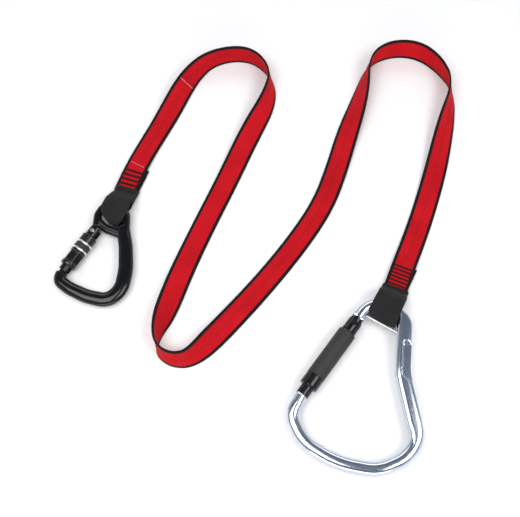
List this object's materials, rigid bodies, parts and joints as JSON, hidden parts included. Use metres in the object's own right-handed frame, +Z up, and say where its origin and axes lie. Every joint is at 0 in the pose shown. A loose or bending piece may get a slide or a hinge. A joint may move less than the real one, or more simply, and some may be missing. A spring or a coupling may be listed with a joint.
{
  "type": "tool lanyard",
  "caption": "Flat webbing tool lanyard with a small locking carabiner sewn into one end and a large pear-shaped locking carabiner with a captive bar at the other.",
  "frame": {"origin": "on the surface the lanyard lies on, at the centre of the footprint of everything but the free strap", "axes": "+Z up from that surface, +Y from the carabiners towards the strap's far bends, +X from the small carabiner towards the large one"},
  "size_m": [0.4382, 0.4913, 0.0252],
  "materials": {
    "red_webbing": "woven, black edges",
    "black_fabric": "matte woven",
    "black_thread": "satin thread",
    "black_anodised": "glossy black anodised",
    "polished_aluminium": "polished",
    "bright_ring": "bright",
    "knurled_grip": "fine knurl, matte",
    "steel": "plain"
  },
  "bodies": {
    "lanyard": {"webbing_strap": "red_webbing", "small_end_loop": "red_webbing", "small_end_cover": "black_fabric", "small_bar_tacks": "black_thread", "large_end_loop": "red_webbing", "large_end_cover": "black_fabric", "large_bar_tacks": "black_thread"},
    "small_carabiner": {"small_carabiner_body": "black_anodised", "small_gate_rivet": "steel"},
    "small_gate": {"small_inner_gate": "black_anodised", "small_guide_pin": "steel", "small_gate_plunger": "steel", "small_gate_spring": "steel"},
    "small_sleeve": {"small_locking_sleeve": "black_anodised", "small_sleeve_spring": "steel", "small_sleeve_ring_1": "bright_ring", "small_sleeve_ring_2": "bright_ring"},
    "large_carabiner": {"large_carabiner_body": "polished_aluminium", "large_gate_rivet": "steel", "captive_bar": "steel"},
    "large_gate": {"large_inner_gate": "black_anodised", "large_guide_pin": "steel", "large_gate_plunger": "steel", "large_gate_spring": "steel"},
    "large_sleeve": {"large_locking_sleeve": "black_anodised", "large_sleeve_grip": "knurled_grip", "large_sleeve_spring": "steel"}
  },
  "joints": [
    {"name": "small_carabiner_swing", "type": "hinge", "parent": "lanyard", "child": "small_carabiner", "pos_m": [-0.1297, 0.1124, 0.0101], "axis": [0.9397, -0.342, 0], "range_deg": [-60, 60]},
    {"name": "small_gate_hinge", "type": "hinge", "parent": "small_carabiner", "child": "small_gate", "pos_m": [-0.15097, 0.08408, 0.00929], "axis": [-0.0081, -0.0224, 0.9997], "range_deg": [0, 40], "stiffness_Nm_per_rad": 0.12, "springref_deg": -34.38},
    {"name": "small_sleeve_twist", "type": "hinge", "parent": "small_gate", "child": "small_sleeve", "pos_m": [-0.15097, 0.08408, 0.00929], "axis": [-0.5372, -0.8431, -0.0233], "range_deg": [0, 90], "stiffness_Nm_per_rad": 0.02, "springref_deg": -22.92},
    {"name": "large_carabiner_swing", "type": "hinge", "parent": "lanyard", "child": "large_carabiner", "pos_m": [0.1535, -0.0018, 0.0126], "axis": [0.9272, -0.3746, 0], "range_deg": [-55, 55]},
    {"name": "large_gate_hinge", "type": "hinge", "parent": "large_carabiner", "child": "large_gate", "pos_m": [0.11752, -0.018, 0.0117], "axis": [-0.0119, -0.0294, 0.9995], "range_deg": [0, 55], "stiffness_Nm_per_rad": 0.25, "springref_deg": -34.38},
    {"name": "large_sleeve_twist", "type": "hinge", "parent": "large_gate", "child": "large_sleeve", "pos_m": [0.11752, -0.018, 0.0117], "axis": [-0.6016, -0.7982, -0.0307], "range_deg": [0, 90], "stiffness_Nm_per_rad": 0.03, "springref_deg": -22.92}
  ]
}
